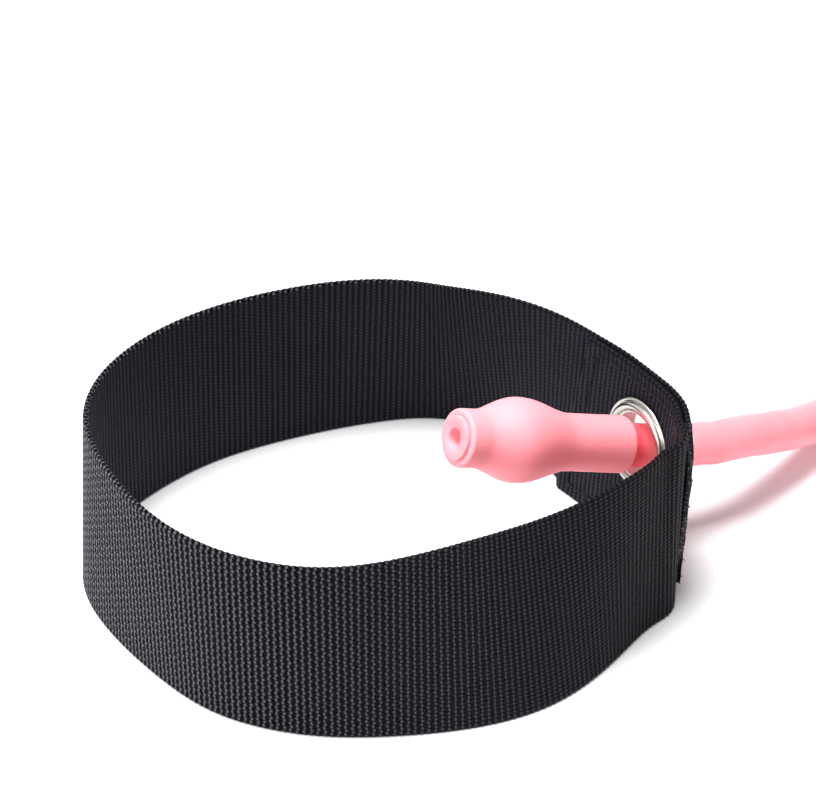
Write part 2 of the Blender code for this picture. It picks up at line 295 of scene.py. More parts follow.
def skin_grain_group() -> bpy.types.NodeTree:
    """Node group of fine pores over broad unevenness, for latex, plate and rubber.

    Returns:
        A group that takes a Place with the scales Fine and Broad, and gives Height, Patch and Speck.
    """
    n, taken, given = new_group("skin_grain", "Place", ("Fine", "Broad"), ("Height", "Patch", "Speck"))
    fine_share, fine_detail, broad_detail, speck_radius, speck_edge = 0.35, 4.0, 2.0, 0.05, 0.12
    fine = n.clouds(taken["Place"], taken["Fine"], fine_detail, flat=False)
    broad = n.clouds(taken["Place"], taken["Broad"], broad_detail, flat=False)
    dust = n.fill(n.add("TexVoronoi"), Vector=taken["Place"], Scale=taken["Fine"]).outputs["Distance"]
    n.join(n.plus(n.times(fine, fine_share), n.times(broad, 1.0 - fine_share)), given["Height"])
    n.join(broad, given["Patch"])
    n.join(n.spread(dust, speck_radius, speck_edge, 1.0, 0.0), given["Speck"])
    return n.tree


YARN_FLOATS = yarn_floats_group()
SKIN_GRAIN = skin_grain_group()


def shade(colour: Colour, factor: float) -> Colour:
    """Colour made lighter or darker by a factor."""
    return (*(factor * part for part in colour[:3]), 1.0)


def start_material(name: str) -> tuple[bpy.types.Material, ShaderNodes, bpy.types.Node]:
    """New material with its node helper and its Principled shader."""
    material = bpy.data.materials.new(name)
    material.use_nodes = True
    return material, ShaderNodes(material.node_tree), material.node_tree.nodes["Principled BSDF"]


class GrainedSkin:
    """Material whose gloss and relief come from the skin grain."""

    def __init__(self, name: str, fine: float, broad: float) -> None:
        """Start the material.

        Args:
            name: its name.
            fine: scale of the pores.
            broad: scale of the unevenness.
        """
        self.material, self.nodes, self.shader = start_material(name)
        self.grain = self.nodes.group(SKIN_GRAIN, Place=self.nodes.place(), Fine=fine, Broad=broad)

    def gloss(self, smooth: float, rough: float, depth_mm: float, full: float = 0.7) -> None:
        """Set roughness and relief.

        Args:
            smooth: roughness in the hollows of the grain.
            rough: roughness on its tops.
            depth_mm: depth of the relief.
            full: grain height from which the roughness is full.
        """
        n, height = self.nodes, self.grain["Height"]
        n.fill(self.shader, Roughness=n.spread(height, 0.3, full, smooth, rough),
               Normal=n.bump(height, depth_mm))


@dataclass(frozen=True)
class WebbingFinish:
    """Black webbing, woven from bright polyester yarn.

    Where pale is given, the yarn is painted paler towards -X. This is painted light on the side that the lamp
    from the left falls on, and the reflections are painted darker towards +X by a metallic share. Its floats
    zigzag towards -X, and towards +X they form an even grid, with a second column of floats between the ribs.
    Between the floats, the dark gap colour and a metallic share are painted shade.
    """

    name: str
    yarn: Colour
    # Painted shade: dark colour between the floats
    gap_shade: Colour
    float_rise: float
    relief: float
    zigzag: float
    open_weave: float
    # Metallic share between the floats, painted shade that darkens their reflections
    depth: float
    shine: float = 0.30
    sheen: float = 0.22
    narrow: float = 1.0
    wander: float = 0.16
    stagger: float = 0.5
    bright: float = 1.35
    rubbed: float = 1.7
    wear: float = 0.35
    wear_mm: float = 9.0
    fibre_stretch: Point = (1.2, 9.0, 1.0)
    fibre_scale: float = 1.6
    fibre_height: float = 0.16
    fibre_rough: float = 0.14
    gap_rough: float = 0.3
    speckle_scale: float = 3.4
    speckle_share: float = 0.60
    # Painted light: yarn colour towards -X, paler where the lamp from the left falls; giving it also turns
    # the floats into a grid towards +X
    pale: Colour | None = None
    painted_light_from: float = -50.0
    painted_light_to: float = 42.0
    grid_rise: float = 0.85
    grid_narrow: float = 2.2
    second_narrow: float = 4.0
    second_at: Point = (0.5, 0.25, 0.0)
    second_height: float = 0.6
    # Painted shade: metallic share left on the second column's floats towards +X, which keeps their
    # reflections dimmer than the ribs'
    second_dim: float = 0.72
    # Painted shade: least metallic share towards +X, which darkens all reflections on that side
    plus_x_painted_shade: float = 0.45

    def material(self) -> bpy.types.Material:
        """Build the material; it reads the piece's weave map."""
        material, n, shader = start_material(self.name)
        cells, place = n.add("UVMap", uv_map="weave").outputs[0], n.place()
        pattern = {"Float_Rise": self.float_rise, "Wander": self.wander, "Zigzag": self.zigzag,
                   "Open": self.open_weave, "Narrow": self.narrow, "Stagger": self.stagger}
        if self.pale:
            # Painted light side: 1 towards -X, where the yarn is painted paler, and 0 towards +X, where
            # reflections are painted darker; it also blends the float pattern
            painted_light_side = n.spread(n.parts(place)["X"], self.painted_light_from * MM, self.painted_light_to * MM, 1.0, 0.0)
            turn, quick_turn = (painted_light_side, 0.15, 0.65), (painted_light_side, 0.15, 0.50)
            pattern |= {"Float_Rise": n.spread(*turn, self.grid_rise, self.float_rise),
                        "Narrow": n.spread(*turn, self.grid_narrow, self.narrow),
                        "Zigzag": n.spread(*quick_turn, 0.0, self.zigzag),
                        "Stagger": n.spread(*quick_turn, 0.0, self.stagger)}
        weave = n.group(YARN_FLOATS, Cells=cells, **pattern)
        stretch = n.fill(n.add("Mapping"), Vector=cells, Scale=self.fibre_stretch)
        fibre = n.clouds(stretch.outputs[0], self.fibre_scale, 2.0)
        patch = n.clouds(place, 1.0 / (self.wear_mm * MM), 2.0, flat=False)
        lit = n.blend(weave["Tone"], self.yarn, shade(self.yarn, self.bright))
        # Wear: paler yarn in broad patches; further down, painted light is blended in towards -X
        wear_and_painted_light = n.blend(n.spread(patch, 0.35, 0.75, 0.0, self.wear), lit, shade(self.yarn, self.rubbed))
        hole, height, rest = weave["Gap"], weave["Height"], self.gap_shade
        if self.pale:
            aside = n.fill(n.add("Mapping"), Vector=cells, Location=self.second_at).outputs[0]
            second = n.group(YARN_FLOATS, Cells=aside, **(pattern | {"Narrow": self.second_narrow}))
            # Painted shade: the dark gap colour between the floats; towards +X the second column of floats
            # shows yarn there
            rest = n.blend(n.larger(second["Gap"], n.spread(*turn, 0.0, 1.0)), wear_and_painted_light, self.gap_shade)
            # Painted light: the yarn is paler towards -X, where the lamp from the left falls
            wear_and_painted_light = n.blend(painted_light_side, wear_and_painted_light, n.blend(weave["Tone"], self.pale, shade(self.pale, self.bright)))
            # Painted shade: a metallic share kept on the second column's floats, and over the whole face
            # towards +X, darkens reflections there
            dimmed = n.spread(second["Gap"], 0.0, 1.0, n.spread(*turn, self.second_dim, 1.0), 1.0)
            hole = n.larger(n.times(hole, dimmed), n.spread(*turn, self.plus_x_painted_shade, 0.0))
            height = n.larger(height, n.times(second["Height"], self.second_height))
        # Painted shade between the floats: the dark gap colour, and a metallic share, uneven in speckles,
        # that darkens their reflections
        speckle = n.clouds(cells, self.speckle_scale, 1.0)
        gap_reflection_shade = n.spread(speckle, 0.40, 0.62, self.depth, self.speckle_share * self.depth)
        fuzz = n.spread(fibre, 0.3, 0.7, self.shine, self.shine + self.fibre_rough)
        n.fill(shader, Base_Color=n.blend(weave["Gap"], wear_and_painted_light, rest), Metallic=n.times(hole, gap_reflection_shade),
               Roughness=n.plus(fuzz, n.times(hole, self.gap_rough)), Specular_IOR_Level=self.sheen,
               Normal=n.bump(n.plus(height, n.times(fibre, self.fibre_height)), self.relief))
        return material


@dataclass(frozen=True)
class ThreadFinish:
    """Twisted black thread and the melted ends of cut yarn."""

    name: str
    base: Colour
    bright: Colour
    shine: float

    def material(self) -> bpy.types.Material:
        """Build the material."""
        skin = GrainedSkin(self.name, fine=5200.0, broad=2200.0)
        skin.gloss(self.shine, self.shine + 0.3, depth_mm=0.25)
        n = skin.nodes
        # Paler in broad noise patches
        paler_patch = n.spread(skin.grain["Patch"], 0.50, 0.70, 0.0, 1.0)
        n.fill(skin.shader, Base_Color=n.blend(paler_patch, self.base, self.bright), Specular_IOR_Level=0.25)
        return skin.material


@dataclass(frozen=True)
class LatexFinish:
    """Pink latex, satin on its skin and slightly clear, with a painted glow and painted shade inside the
    eyelet's throat.
    """

    name: str
    skin: Colour
    deep: Colour
    roughness: float
    depth_mm: float
    weight: float
    # Painted light: a red emission in place of light scattered through the latex into its shade
    painted_glow: float
    painted_glow_tint: Colour = (1.0, 0.05, 0.07, 1.0)
    scatter: Point = (1.0, 0.20, 0.15)
    pores: float = 0.02
    # Painted shade: where given, a deeper colour on the tube end where it lies inside the eyelet's throat,
    # faded in and out along X over the two ranges below, in millimetres
    throat: Colour | None = None
    throat_shade_from: tuple[float, float] = (45.8, 46.6)
    throat_shade_to: tuple[float, float] = (50.0, 54.0)

    def material(self) -> bpy.types.Material:
        """Build the material."""
        skin = GrainedSkin(self.name, fine=1500.0, broad=160.0)
        skin.gloss(self.roughness - 0.05, self.roughness + 0.08, self.pores)
        n = skin.nodes
        colour = n.blend(n.spread(skin.grain["Patch"], 0.35, 0.7, 0.0, 0.6), self.skin, self.deep)
        colour = n.blend(n.times(skin.grain["Speck"], 0.12), colour, self.deep)
        # Painted shade in the eyelet's throat, in the piece's own coordinates, so it moves with the tube when
        # it slides
        if self.throat:
            along = n.parts(n.place())["X"]
            inside = n.spread(along, *(x * MM for x in self.throat_shade_from), 0.0, 1.0)
            outside = n.spread(along, *(x * MM for x in self.throat_shade_to), 1.0, 0.0)
            colour = n.blend(n.times(inside, outside), colour, self.throat)
        # The emission is painted light, a red glow in place of light scattered through the latex
        n.fill(skin.shader, Base_Color=colour, Subsurface_Weight=self.weight, Subsurface_Radius=self.scatter,
               Subsurface_Scale=self.depth_mm * MM, Emission_Color=self.painted_glow_tint,
               Emission_Strength=self.painted_glow, Specular_IOR_Level=0.35)
        return skin.material


@dataclass(frozen=True)
class PlateFinish:
    """Bright plated metal with fine handling marks."""

    name: str
    base: Colour
    roughness: float
    metal: float = 1.0

    def material(self) -> bpy.types.Material:
        """Build the material."""
        skin = GrainedSkin(self.name, fine=2600.0, broad=260.0)
        skin.gloss(self.roughness, self.roughness + 0.1, depth_mm=0.012, full=0.75)
        n = skin.nodes
        dulled = n.spread(skin.grain["Patch"], 0.45, 0.75, 0.0, 0.5)
        n.fill(skin.shader, Base_Color=n.blend(dulled, self.base, shade(self.base, 0.8)), Metallic=self.metal)
        return skin.material


@dataclass(frozen=True)
class BallFinish:
    """Moulded ball or soft band with a fine matt grain."""

    name: str
    base: Colour
    roughness: float

    def material(self) -> bpy.types.Material:
        """Build the material."""
        skin = GrainedSkin(self.name, fine=3000.0, broad=300.0)
        skin.gloss(self.roughness, self.roughness + 0.15, depth_mm=0.03)
        mottled = skin.nodes.blend(skin.grain["Patch"], self.base, shade(self.base, 0.82))
        skin.nodes.fill(skin.shader, Base_Color=mottled)
        return skin.material


@dataclass(frozen=True)
class StudioFinish:
    """Pale floor that the camera and reflections see as white, with the object's shadow kept."""

    name: str = "studio_floor"
    paper: Colour = (0.92, 0.92, 0.94, 1.0)
    lift: float = 0.08

    def material(self) -> bpy.types.Material:
        """Build the material."""
        material, n, shader = start_material(self.name)
        n.fill(shader, Base_Color=self.paper, Roughness=0.85, Specular_IOR_Level=0.1, Emission_Color=WHITE,
               Emission_Strength=n.times(n.seen(), self.lift))
        return material


# Outer face: painted light makes its yarn paler towards -X, and its gap colour is painted shade between the
# floats
BLACK_OUTER = WebbingFinish(
    "webbing_outer", yarn=(0.0072, 0.0070, 0.0108, 1.0), gap_shade=(0.0012, 0.0012, 0.0020, 1.0), float_rise=0.60,
    relief=0.42, zigzag=0.16, open_weave=0.30, depth=1.0, narrow=2.6, pale=(0.086, 0.085, 0.101, 1.0))
# Inner face: its gap colour is painted shade between the floats
BLACK_INNER = WebbingFinish(
    "webbing_inner", yarn=(0.0100, 0.0098, 0.0170, 1.0), gap_shade=(0.0040, 0.0039, 0.0070, 1.0), float_rise=0.55,
    relief=0.22, zigzag=0.0, open_weave=0.25, depth=0.6, shine=0.42, sheen=0.18)
CUT_YARN = ThreadFinish("cut_yarn", (0.008, 0.008, 0.011, 1.0), (0.17, 0.18, 0.21, 1.0), 0.45)
BLACK_THREAD = ThreadFinish("black_thread", (0.008, 0.008, 0.010, 1.0), (0.014, 0.014, 0.018, 1.0), 0.65)
# Both latex finishes have a painted red glow in place of light scattered through them
SLEEVE_LATEX = LatexFinish(
    "pink_latex_sleeve", (0.98, 0.37, 0.415, 1.0), (0.97, 0.32, 0.365, 1.0), 0.50, depth_mm=1.0, weight=0.35,
    painted_glow=0.32, painted_glow_tint=(1.0, 0.17, 0.20, 1.0))
TUBE_LATEX = LatexFinish(
    "pink_latex_tube", (0.97, 0.38, 0.43, 1.0), (0.96, 0.33, 0.38, 1.0), 0.46, depth_mm=5.0, weight=0.8,
    painted_glow=0.12)
# The near tube end carries painted shade where it lies inside the eyelet's throat
THROAT_SHADED_TUBE_LATEX = replace(TUBE_LATEX, name="pink_latex_tube_end_throat_shade", weight=0.5, throat=(0.90, 0.10, 0.14, 1.0))
NICKEL = PlateFinish("bright_nickel", (0.62, 0.60, 0.565, 1.0), 0.20)
# Painted light: the throat's wall is a pale, mostly matt copy of the plating, in place of the light that the
# chrome reflects inside the eyelet
BARREL_WALL_PAINTED_LIGHT = PlateFinish("barrel_wall_painted_light", (0.80, 0.77, 0.71, 1.0), 0.50, 0.15)
WHITE_BALL = BallFinish("white_ball", (0.80, 0.78, 0.74, 1.0), 0.40)
TIE_RUBBER = BallFinish("tie_rubber", (0.03, 0.03, 0.034, 1.0), 0.55)


def linked(name: str, data: bpy.types.ID) -> bpy.types.Object:
    """New object of the scene that shows some data."""
    item = bpy.data.objects.new(name, data)
    bpy.context.scene.collection.objects.link(item)
    return item


def stand(name: str, data: bpy.types.ID, place: Vector, way: Vector) -> bpy.types.Object:
    """New camera or lamp that stands at a place in millimetres and faces a way."""
    item = linked(name, data)
    item.location = place * MM
    item.rotation_euler = way.to_track_quat("-Z", "Y").to_euler()
    return item


def finish_mesh(bm: bmesh.types.BMesh, name: str, materials: list[bpy.types.Material],
                recalculate: bool = True, sharp: float = 50.0) -> bpy.types.Object:
    """Turn a bmesh in millimetres into a linked object in metres.

    Args:
        bm: the mesh, which is freed.
        name: the piece's name.
        materials: its materials, in slot order.
        recalculate: whether the faces are turned outwards.
        sharp: edges over this angle in degrees stay sharp.

    Returns:
        The new object, at the origin.
    """
    if recalculate:
        bmesh.ops.recalc_face_normals(bm, faces=bm.faces)
    bmesh.ops.scale(bm, vec=(MM, MM, MM), verts=bm.verts)
    for face in bm.faces:
        face.smooth = True
    data = bpy.data.meshes.new(name)
    bm.to_mesh(data)
    bm.free()
    data.set_sharp_from_angle(angle=math.radians(sharp))
    for material in materials:
        data.materials.append(material)
    LOG.info("%s: %d faces", name, len(data.polygons))
    return linked(name, data)


def axis_frame(origin: Vector, direction: Vector) -> Matrix:
    """Matrix whose local X axis runs along a direction.

    Args:
        origin: the frame's origin.
        direction: where local X points.

    Returns:
        The frame's matrix.
    """
    x = Vector(direction).normalized()
    y = Vector((0.0, 0.0, 1.0)).cross(x).normalized()
    placed = Matrix((x, y, x.cross(y))).transposed().to_4x4()
    placed.translation = Vector(origin)
    return placed


def spun(outline: Outline, steps: int, place: Matrix) -> bmesh.types.BMesh:
    """Spin a closed outline of (along, radius) points round the local X axis.

    Args:
        outline: the section, as points along the axis and out from it.
        steps: facets round the axis.
        place: matrix that puts the shape in place.

    Returns:
        The closed mesh.
    """
    bm = bmesh.new()
    rim = [bm.verts.new((along, radius, 0.0)) for along, radius in outline]
    edges = [bm.edges.new((a, b)) for a, b in zip(rim, rim[1:] + rim[:1])]
    bmesh.ops.spin(bm, geom=rim + edges, cent=(0, 0, 0), axis=(1, 0, 0), angle=2 * math.pi, steps=steps,
                   use_merge=True)
    bmesh.ops.remove_doubles(bm, verts=bm.verts, dist=1e-4)
    bmesh.ops.recalc_face_normals(bm, faces=bm.faces)
    bmesh.ops.transform(bm, matrix=place, verts=bm.verts)
    return bm


def edge_loops(edges: list[bmesh.types.BMEdge]) -> list[list[bmesh.types.BMEdge]]:
    """Sort boundary edges into the closed loops that they form.

    Args:
        edges: the boundary edges.

    Returns:
        The edges of each loop.
    """
    left, loops = set(edges), []
    for first in edges:
        if first not in left:
            continue
        left.discard(first)
        loop = [first]
        for edge in loop:
            for vert in edge.verts:
                for other in vert.link_edges:
                    if other in left:
                        left.discard(other)
                        loop.append(other)
        loops.append(loop)
    return loops


def arc(middle: tuple[float, float], radius: float, start: float, end: float, steps: int) -> Outline:
    """Points of an arc.

    Args:
        middle: the arc's centre.
        radius: its radius.
        start: first angle in degrees.
        end: last angle in degrees.
        steps: number of points.

    Returns:
        The points.
    """
    angles = np.radians(np.linspace(start, end, steps))
    return [(middle[0] + radius * math.cos(a), middle[1] + radius * math.sin(a)) for a in angles]


def b_spline(points: list[tuple[float, ...]], samples: int) -> np.ndarray:
    """Cubic B-spline that starts and ends on its first and last control point.

    Args:
        points: control points.
        samples: number of points wanted.

    Returns:
        One row for each point.
    """
    control = np.array(points, float)
    spans = len(control) - 3
    knots = np.concatenate([np.zeros(3), np.linspace(0.0, 1.0, spans + 1), np.ones(3)])
    curve = []
    for place in np.linspace(0.0, 1.0, samples):
        k = min(int(place * spans), spans - 1) + 3
        heap = [control[j + k - 3].copy() for j in range(4)]
        for level in range(1, 4):
            for j in range(3, level - 1, -1):
                low, high = knots[j + k - 3], knots[j + 1 + k - level]
                share = (place - low) / (high - low)
                heap[j] = (1.0 - share) * heap[j - 1] + share * heap[j]
        curve.append(heap[3])
    return np.array(curve)


# The strip's lower edge seen from above: x, y and the outward lean of the upper edge. It follows the part's
# source, eased by up to 2 mm at the flap's end and at the lap's corner.
STRIP_CONTROL: list[Point] = [
    (34.9, 27.6, 2.6), (43.7, 15.9, 3.2), (46.4, 11.6, 3.2), (49.1, 7.2, 3.2), (51.8, 2.7, 3.2),
    (54.3, -1.5, 2.1), (55.0, -6.0, 1.1),
    (56.4, -12.9, 1.2), (54.9, -17.2, -3.4), (50.3, -20.2, 0.2),
    (42.5, -32.9, -3.8), (32.0, -44.6, -7.8), (18.0, -50.8, -7.3), (1.2, -53.1, -1.3), (-14.0, -53.0, 0.9),
    (-30.5, -47.3, 0.2), (-41.7, -35.3, 1.2),
    (-51.5, -22.5, -1.1), (-59.4, -7.1, -2.7), (-57.2, 9.9, -1.7),
    (-47.4, 25.1, -0.6), (-35.1, 37.2, -1.7), (-19.7, 44.9, -2.0), (-4.1, 50.8, -3.9), (12.4, 54.2, -8.5),
    (26.6, 45.9, -6.3),
    (35.0, 31.9, 0.9), (39.0, 23.9, 3.0), (44.9, 16.8, 3.2), (47.6, 12.4, 3.2), (50.4, 8.0, 3.2),
    (53.1, 3.5, 3.2), (55.8, -0.9, 2.0), (56.7, -6.0, 1.0), (57.0, -8.4, 0.7), (57.1, -10.7, 1.5),
]


@dataclass
class WovenStrap:
    """One strip of webbing that laps over itself, with its stitching and cut ends."""

    width: float = 38.0
    thick: float = 1.2
    lap_gap: float = 0.3
    rib_pitch: float = 1.25
    float_pitch: float = 0.82
    rib_depth: float = 0.28
    inner_depth: float = 0.12
    selvage_depth: float = 0.22
    flap_slant: float = 7.2
    slant_reach: float = 20.8
    cut_reach: float = 16.0
    eyelet_foot: tuple[float, float] = (50.4, 8.0)
    eyelet_up: float = 22.9
    eyelet_lean: float = 3.2
    hole_radius: float = 8.4
    route_samples: int = 3000
    samples_a_rib: int = 4
    rows: int = 20
    punch_reach: float = 6.0
    stitch_in: float = 4.0
    stitch_edge: float = 2.8
    stitch_pitch: float = 2.7
    stitch_span: tuple[float, float] = (0.12, 0.88)
    thread: float = 0.36
    dent_depth: float = 0.26
    dent_reach: float = 0.6
    fray: float = 0.28
    yarn_root: float = 0.4
    yarn_inside: float = 1.5
    yarn_radii: tuple[float, float] = (0.11, 0.05)
    box_length: float = 37.0
    route: np.ndarray = field(init=False)
    run: np.ndarray = field(init=False)
    length: float = field(init=False)

    # Heights on a cut end and how far the end is cut back there
    FLAP_CUT: ClassVar[Outline] = [(0.0, 1.5), (0.8, 0.7), (1.6, 1.7), (2.6, 1.3), (4.2, 0.0), (38.0, 0.0)]
    END_CUT: ClassVar[Outline] = [(0.0, 4.2), (1.6, 2.8), (2.6, 0.9), (3.4, 1.3), (10.5, 1.0), (12.0, 0.2),
                                  (31.0, 0.3), (34.5, 1.4), (38.0, 3.6)]

    def __post_init__(self) -> None:
        """Work out the strip's course."""
        self.route = b_spline(STRIP_CONTROL, self.route_samples)
        steps = np.linalg.norm(np.diff(self.route[:, :2], axis=0), axis=1)
        self.run = np.concatenate([[0.0], np.cumsum(steps)])
        self.length = float(self.run[-1])

    def on_route(self, run: np.ndarray) -> np.ndarray:
        """Route's x, y and outward lean at lengths along the strip."""
        return np.stack([np.interp(run, self.run, column) for column in self.route.T], axis=-1)

    def course(self, run: np.ndarray) -> tuple[np.ndarray, np.ndarray, np.ndarray, np.ndarray]:
        """Place, way, outward side and lean at lengths along the strip.

        Args:
            run: lengths from the flap's end.

        Returns:
            Points, directions along, directions outwards and lean angles.
        """
        at = self.on_route(run)
        way = (self.on_route(run + 1.0) - self.on_route(run - 1.0))[..., :2]
        way /= np.linalg.norm(way, axis=-1, keepdims=True)
        side = np.stack([-way[..., 1], way[..., 0]], axis=-1)
        return at[..., :2], way, side, np.arcsin(at[..., 2] / self.width)

    def places(self, run: np.ndarray, out: np.ndarray, up: np.ndarray) -> np.ndarray:
        """Points of the strip.

        Args:
            run: lengths from the flap's end.
            out: distances outwards from the strip's middle.
            up: heights from its lower edge.

        Returns:
            Points in millimetres, one for each value.
        """
        foot, way, side, lean = self.course(run)
        shift = out * np.cos(lean) + up * np.sin(lean)
        height = np.maximum(up * np.cos(lean) - out * np.sin(lean), 0.0)
        plan = foot + side * shift[..., None] + way * self.slant(run, up)[..., None]
        return np.concatenate([plan, height[..., None]], axis=-1)

    def slant(self, run: np.ndarray, up: np.ndarray) -> np.ndarray:
        """How far the slanted cut of the flap carries a point along the strip."""
        return self.flap_slant * np.clip(1.0 - run / self.slant_reach, 0.0, 1.0) * up / self.width

    def eyelet_frame(self) -> tuple[Vector, Vector]:
        """Eyelet centre on the outer layer's middle and its axis out of the loop."""
        half = len(self.run) // 2
        near = half + int(np.linalg.norm(self.route[half:, :2] - np.array(self.eyelet_foot), axis=1).argmin())
        _, _, side, _ = self.course(np.array([self.run[near]]))
        lean = math.asin(self.eyelet_lean / self.width)
        up = Vector((side[0][0] * math.sin(lean), side[0][1] * math.sin(lean), math.cos(lean)))
        out = Vector((side[0][0] * math.cos(lean), side[0][1] * math.cos(lean), -math.sin(lean)))
        return Vector((*self.eyelet_foot, 0.0)) + self.eyelet_up * up, out

    def section(self) -> list[tuple[float, float, float, float, Face]]:
        """Outline of the webbing: out, up, the outward normal of each point and its face."""
        half = self.thick / 2
        low, high = half, self.width - half
        points = []
        for side, first, last, face in ((1.0, low, high, Face.OUTER), (-1.0, high, low, Face.INNER)):
            for k in range(self.rows + 1):
                points.append((side * half, first + (last - first) * k / self.rows, side, 0.0, face))
            for degrees in (30.0, 60.0, 90.0, 120.0, 150.0):
                angle = math.radians(degrees)
                c, s = side * math.cos(angle), side * math.sin(angle)
                points.append((half * c, last + half * s, c, s, face))
        return points

    def stitch_lines(self) -> list[tuple[float, float, float, float]]:
        """Stitched box through the lap, as run and up of each line's ends on the outer layer."""
        end = self.length - self.stitch_in
        start = end - self.box_length
        low, high = self.stitch_edge, self.width - self.stitch_edge
        corners = [(start, low), (start, high), (end, high), (end, low)]
        return [(*a, *b) for a, b in zip(corners, corners[1:] + corners[:1])]

    def inner_run(self, outer_run: float) -> float:
        """Run of the flap's point that lies under a point of the outer layer.

        Args:
            outer_run: length along the strip at the outer layer.

        Returns:
            The length along the strip at the flap.
        """
        foot, _, side, _ = self.course(np.array([outer_run]))
        target = foot[0] - side[0] * (self.thick + self.lap_gap)
        near = self.run < self.length / 4
        return float(self.run[near][np.linalg.norm(self.route[near][:, :2] - target, axis=1).argmin()])

    def rib_wave(self, run: np.ndarray) -> np.ndarray:
        """How deep the surface lies between ribs, from 0 on a crown to 1 between two ribs."""
        return 1.0 - np.abs(np.sin(math.pi * run / self.rib_pitch)) ** 0.8

    def stitch_dents(self, run: np.ndarray, up: np.ndarray) -> np.ndarray:
        """How far the thread pulls the webbing in, in millimetres, near the stitched box.

        Args:
            run: lengths along the strip.
            up: heights.

        Returns:
            Depths.
        """
        dent = np.zeros(np.broadcast(run, up).shape)
        for run_a, up_a, run_b, up_b in self.stitch_lines():
            for a, b in ((run_a, run_b), (self.inner_run(run_a), self.inner_run(run_b))):
                low, high = min(a, b), max(a, b)
                off = np.hypot(np.maximum(np.maximum(low - run, run - high), 0.0),
                               np.maximum(np.maximum(min(up_a, up_b) - up, up - max(up_a, up_b)), 0.0))
                dent = np.maximum(dent, self.dent_depth * np.exp(-(off / self.dent_reach) ** 2))
        return dent

    def ragged(self, up: np.ndarray, table: Outline, seed: int) -> np.ndarray:
        """How far a cut end is frayed back at each height.

        Args:
            up: heights.
            table: heights and how far the end is cut back there.
            seed: start of the unevenness.

        Returns:
            Lengths in millimetres.
        """
        uneven = np.array([noise.noise(Vector((3.1 * h, seed, 0.5)))
                           + 0.6 * noise.noise(Vector((9.0 * h, seed, 4.5))) for h in up])
        return np.interp(up, *zip(*table)) + self.fray * uneven

    def build(self) -> bpy.types.Object:
        """Weave the strip: a grid wrapped round its section, with ribs, selvages and the eyelet's holes.

        Returns:
            The strap.
        """
        section = self.section()
        count = round(self.length / self.rib_pitch) * self.samples_a_rib
        run_line = np.linspace(0.0, self.length, count + 1)
        out0, up0, n_out, n_up = (np.array([p[k] for p in section + section[:1]]) for k in range(4))
        run, out, up = run_line[:, None], out0[None, :], up0[None, :]
        edge = np.abs(n_up)[None, :]
        flap_cut = self.ragged(up0, self.FLAP_CUT, 3)
        end_cut = self.ragged(up0, self.END_CUT, 8)
        bent = run + flap_cut * np.clip(1.0 - run / self.cut_reach, 0.0, 1.0)
        bent = bent - end_cut * np.clip(1.0 - (self.length - run) / self.cut_reach, 0.0, 1.0)
        yarn = bent + self.slant(bent, up)
        rib = np.where(out > 0.0, self.rib_depth, self.inner_depth)
        depth = self.rib_wave(yarn) * (rib + (self.selvage_depth - rib) * edge)
        depth = depth + self.stitch_dents(bent, up) * (1.0 - edge)
        stood_on = (up < 0.2) & (edge > 0.8)
        depth = depth * np.where(stood_on, 0.3, 1.0)
        places = self.places(bent, out - n_out * depth, up - n_up * depth)

        bm = bmesh.new()
        bmesh.ops.create_grid(bm, x_segments=count, y_segments=len(section), size=1.0)
        weave = bm.loops.layers.uv.new("weave")
        baked = bm.loops.layers.uv.new("OFBake")
        girth = np.concatenate([[0.0], np.cumsum(np.hypot(np.diff(out0), np.diff(up0)))])
        spot = {}
        for vert in bm.verts:
            i = round((vert.co.x + 1.0) / 2.0 * count)
            j = round((vert.co.y + 1.0) / 2.0 * len(section))
            spot[vert] = (i, j)
            vert.co = places[i, j]
        half = count // 2
        for face in bm.faces:
            cells = [spot[loop.vert] for loop in face.loops]
            j_low = min(j for _, j in cells)
            second = min(i for i, _ in cells) >= half
            face.material_index = section[j_low][4].value
            for loop, (i, j) in zip(face.loops, cells):
                loop[weave].uv = (yarn[i, j] / self.rib_pitch, girth[j] / self.float_pitch)
                across = (i - half * second) / (count - half)
                loop[baked].uv = (0.005 + 0.99 * across, 0.005 + 0.49 * girth[j] / girth[-1] + 0.5 * second)
        bmesh.ops.remove_doubles(bm, verts=bm.verts, dist=1e-3)
        ends = [edge for edge in bm.edges if edge.is_boundary]
        capped = bmesh.ops.holes_fill(bm, edges=ends, sides=0)
        for face in capped["faces"]:
            face.material_index = Face.CUT_END.value
        self.punch(bm)
        bmesh.ops.recalc_face_normals(bm, faces=bm.faces)
        materials = [BLACK_OUTER.material(), BLACK_INNER.material(), CUT_YARN.material()]
        return finish_mesh(bm, "woven_strap", materials, recalculate=False, sharp=75.0)

    def punch(self, bm: bmesh.types.BMesh) -> None:
        """Cut the eyelet's hole through both layers and join its rims.

        Args:
            bm: the woven mesh.
        """
        centre, axis = self.eyelet_frame()
        gone = []
        for face in bm.faces:
            offset = face.calc_center_median() - centre
            along = offset.dot(axis)
            if abs(along) < self.punch_reach and (offset - axis * along).length < self.hole_radius:
                gone.append(face)
        bmesh.ops.delete(bm, geom=gone, context="FACES")
        open_edges = [edge for edge in bm.edges if edge.is_boundary]
        for vert in {vert for edge in open_edges for vert in edge.verts}:
            offset = vert.co - centre
            along = offset.dot(axis)
            out = offset - axis * along
            vert.co = centre + axis * along + out.normalized() * self.hole_radius
        rims = edge_loops(open_edges)
        rims.sort(key=lambda rim: sum((edge.verts[0].co - centre).dot(axis) for edge in rim) / len(rim))
        LOG.info("eyelet hole: %d rims", len(rims))
        for one_face, other_face in zip(rims[::2], rims[1::2]):
            bmesh.ops.bridge_loops(bm, edges=one_face + other_face)

